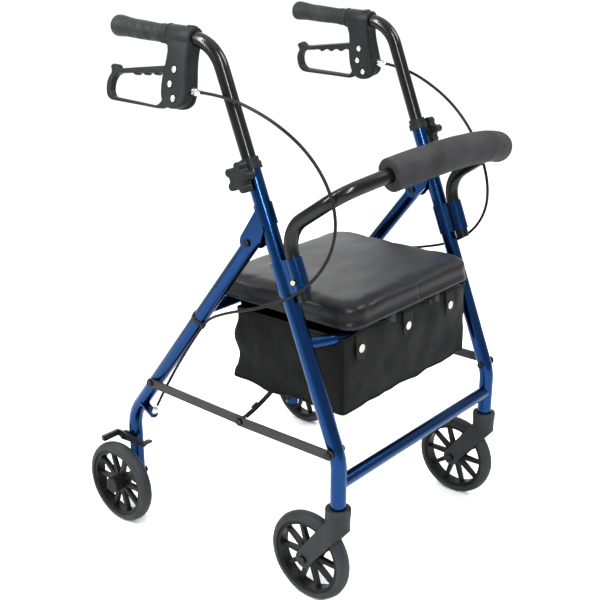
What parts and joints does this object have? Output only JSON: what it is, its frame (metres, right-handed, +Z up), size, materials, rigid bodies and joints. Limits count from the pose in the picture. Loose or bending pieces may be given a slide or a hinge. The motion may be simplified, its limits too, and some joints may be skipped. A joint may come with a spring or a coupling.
{
  "type": "rollator walker",
  "caption": "Folding rollator walker with a padded seat, hand brakes, an under-seat bag and a padded back bow on a blue tube frame.",
  "frame": {"origin": "on the floor under the centre of the bounding box", "axes": "+Z up, -Y the way it rolls forward, X across its width with the user's left hand at +X"},
  "size_m": [0.5704, 0.6076, 0.896],
  "materials": {
    "frame_blue": "metallic gloss",
    "tube_black": "gloss",
    "brace_black": "satin",
    "moulded_black": "fine moulded texture",
    "caster_grey": "satin",
    "rim_black": "satin gloss",
    "tyre": "matt",
    "grip_rubber": "satin",
    "seat_vinyl": "satin grain",
    "foam": "fine open cell",
    "bag_nylon": "woven",
    "strap_black": "ribbed webbing",
    "snap_cream": "gloss",
    "steel": "zinc plated",
    "spring_chrome": "bright",
    "brass": "bright",
    "cable_black": "smooth jacket"
  },
  "bodies": {
    "front_frame": {"front_leg_right": "frame_blue", "front_leg_left": "frame_blue", "lower_front_bar": "frame_blue", "seat_front_bar": "frame_blue", "fold_brackets": "frame_blue", "back_sockets": "frame_blue", "height_collars": "moulded_black", "front_frame_bolts": "steel", "storage_bag": "bag_nylon", "bag_snaps": "snap_cream", "bag_straps": "strap_black", "brake_cable_right": "cable_black", "brake_cable_left": "cable_black"},
    "rear_frame": {"rear_leg_right": "frame_blue", "rear_leg_left": "frame_blue", "rear_leg_lugs": "frame_blue", "seat_rear_bar": "frame_blue", "rear_frame_bolts": "steel", "cable_clips": "moulded_black", "cable_ferrules": "steel", "brake_spring_right": "spring_chrome", "brake_spring_left": "spring_chrome"},
    "brace_front": {"brace_front_links": "brace_black", "brace_middle_bolts": "steel"},
    "brace_rear": {"brace_rear_links": "brace_black", "brace_middle_nuts": "steel"},
    "seat": {"seat_board": "moulded_black", "seat_cushion": "seat_vinyl"},
    "back_rest": {"back_bow": "tube_black", "back_foam": "foam"},
    "caster_right": {"caster_fork_right": "caster_grey", "caster_axle_right": "steel"},
    "front_wheel_right": {"front_rim_right": "rim_black", "front_tyre_right": "tyre"},
    "rear_wheel_right": {"rear_rim_right": "rim_black", "rear_tyre_right": "tyre"},
    "brake_right": {"brake_bar_right": "brace_black"},
    "handle_right": {"handle_tube_right": "tube_black", "grip_right": "grip_rubber", "brake_housing_right": "moulded_black", "housing_bolts_right": "steel", "barrel_adjuster_right": "steel"},
    "lever_right": {"brake_lever_right": "moulded_black"},
    "knob_right": {"star_knob_right": "moulded_black"},
    "button_right": {"snap_button_right": "brass"},
    "caster_left": {"caster_fork_left": "caster_grey", "caster_axle_left": "steel"},
    "front_wheel_left": {"front_rim_left": "rim_black", "front_tyre_left": "tyre"},
    "rear_wheel_left": {"rear_rim_left": "rim_black", "rear_tyre_left": "tyre"},
    "brake_left": {"brake_bar_left": "brace_black"},
    "handle_left": {"handle_tube_left": "tube_black", "grip_left": "grip_rubber", "brake_housing_left": "moulded_black", "housing_bolts_left": "steel", "barrel_adjuster_left": "steel"},
    "lever_left": {"brake_lever_left": "moulded_black"},
    "knob_left": {"star_knob_left": "moulded_black"},
    "button_left": {"snap_button_left": "brass"}
  },
  "joints": [
    {"name": "fold", "type": "hinge", "parent": "front_frame", "child": "rear_frame", "pos_m": [0, -0.072, 0.581], "axis": [-1, 0, 0], "range_deg": [0, 35], "deforming": ["storage_bag", "bag_straps", "brake_cable_right", "brake_cable_left"]},
    {"name": "brace_front_hinge", "type": "hinge", "parent": "front_frame", "child": "brace_front", "pos_m": [0, -0.2355, 0.28], "axis": [1, 0, 0], "range_deg": [0, 46]},
    {"name": "brace_rear_hinge", "type": "hinge", "parent": "rear_frame", "child": "brace_rear", "pos_m": [0, 0.1629, 0.2825], "axis": [-1, 0, 0], "range_deg": [0, 41]},
    {"name": "seat_lift", "type": "hinge", "parent": "front_frame", "child": "seat", "pos_m": [0, -0.2025, 0.438], "axis": [1, 0, 0], "range_deg": [0, 75]},
    {"name": "back_lift", "type": "slide", "parent": "front_frame", "child": "back_rest", "axis": [0, 0.3697, 0.9291], "range_m": [0, 0.08]},
    {"name": "caster_swivel_right", "type": "hinge", "parent": "front_frame", "child": "caster_right", "pos_m": [-0.22, -0.2415, 0.18], "axis": [0, 0, 1], "continuous": true},
    {"name": "front_wheel_spin_right", "type": "hinge", "parent": "caster_right", "child": "front_wheel_right", "pos_m": [-0.22, -0.1865, 0.0762], "axis": [1, 0, 0], "continuous": true},
    {"name": "rear_wheel_spin_right", "type": "hinge", "parent": "rear_frame", "child": "rear_wheel_right", "pos_m": [-0.2625, 0.228, 0.0762], "axis": [1, 0, 0], "continuous": true},
    {"name": "handle_height_right", "type": "slide", "parent": "front_frame", "child": "handle_right", "axis": [0, 0.3697, 0.9291], "range_m": [-0.05, 0.075], "deforming": ["brake_cable_right"]},
    {"name": "lever_pull_right", "type": "hinge", "parent": "handle_right", "child": "lever_right", "pos_m": [-0.22933, 0.0614, 0.82486], "axis": [0.9792, 0, -0.2028], "range_deg": [0, 14], "stiffness_Nm_per_rad": 2, "springref_deg": -8.59},
    {"name": "brake_press_right", "type": "hinge", "parent": "rear_frame", "child": "brake_right", "pos_m": [-0.2355, 0.2455, 0.152], "axis": [-1, 0, 0], "range_deg": [0, 6.5], "deforming": ["brake_spring_right"]},
    {"name": "knob_turn_right", "type": "hinge", "parent": "front_frame", "child": "knob_right", "pos_m": [-0.24, -0.07516, 0.684], "axis": [-1, 0, 0], "continuous": true},
    {"name": "button_press_right", "type": "slide", "parent": "front_frame", "child": "button_right", "axis": [1, 0, 0], "range_m": [0, 0.0015], "stiffness_N_per_m": 400, "springref_m": -0.001},
    {"name": "caster_swivel_left", "type": "hinge", "parent": "front_frame", "child": "caster_left", "pos_m": [0.22, -0.2415, 0.18], "axis": [0, 0, 1], "continuous": true},
    {"name": "front_wheel_spin_left", "type": "hinge", "parent": "caster_left", "child": "front_wheel_left", "pos_m": [0.22, -0.1865, 0.0762], "axis": [1, 0, 0], "continuous": true},
    {"name": "rear_wheel_spin_left", "type": "hinge", "parent": "rear_frame", "child": "rear_wheel_left", "pos_m": [0.2625, 0.228, 0.0762], "axis": [1, 0, 0], "continuous": true},
    {"name": "handle_height_left", "type": "slide", "parent": "front_frame", "child": "handle_left", "axis": [0, 0.3697, 0.9291], "range_m": [-0.05, 0.075], "deforming": ["brake_cable_left"]},
    {"name": "lever_pull_left", "type": "hinge", "parent": "handle_left", "child": "lever_left", "pos_m": [0.22933, 0.0614, 0.82486], "axis": [0.9792, 0, 0.2028], "range_deg": [0, 14], "stiffness_Nm_per_rad": 2, "springref_deg": -8.59},
    {"name": "brake_press_left", "type": "hinge", "parent": "rear_frame", "child": "brake_left", "pos_m": [0.2355, 0.2455, 0.152], "axis": [-1, 0, 0], "range_deg": [0, 6.5], "deforming": ["brake_spring_left"]},
    {"name": "knob_turn_left", "type": "hinge", "parent": "front_frame", "child": "knob_left", "pos_m": [0.24, -0.07516, 0.684], "axis": [1, 0, 0], "continuous": true},
    {"name": "button_press_left", "type": "slide", "parent": "front_frame", "child": "button_left", "axis": [-1, 0, 0], "range_m": [0, 0.0015], "stiffness_N_per_m": 400, "springref_m": -0.001}
  ],
  "couplings": [
    {"joint": "brace_front_hinge", "follows": "fold", "ratio": 1.3126},
    {"joint": "brace_rear_hinge", "follows": "fold", "ratio": 1.1667},
    {"joint": "brake_press_right", "follows": "lever_pull_right", "ratio": 0.464},
    {"joint": "brake_press_left", "follows": "lever_pull_left", "ratio": 0.464}
  ]
}
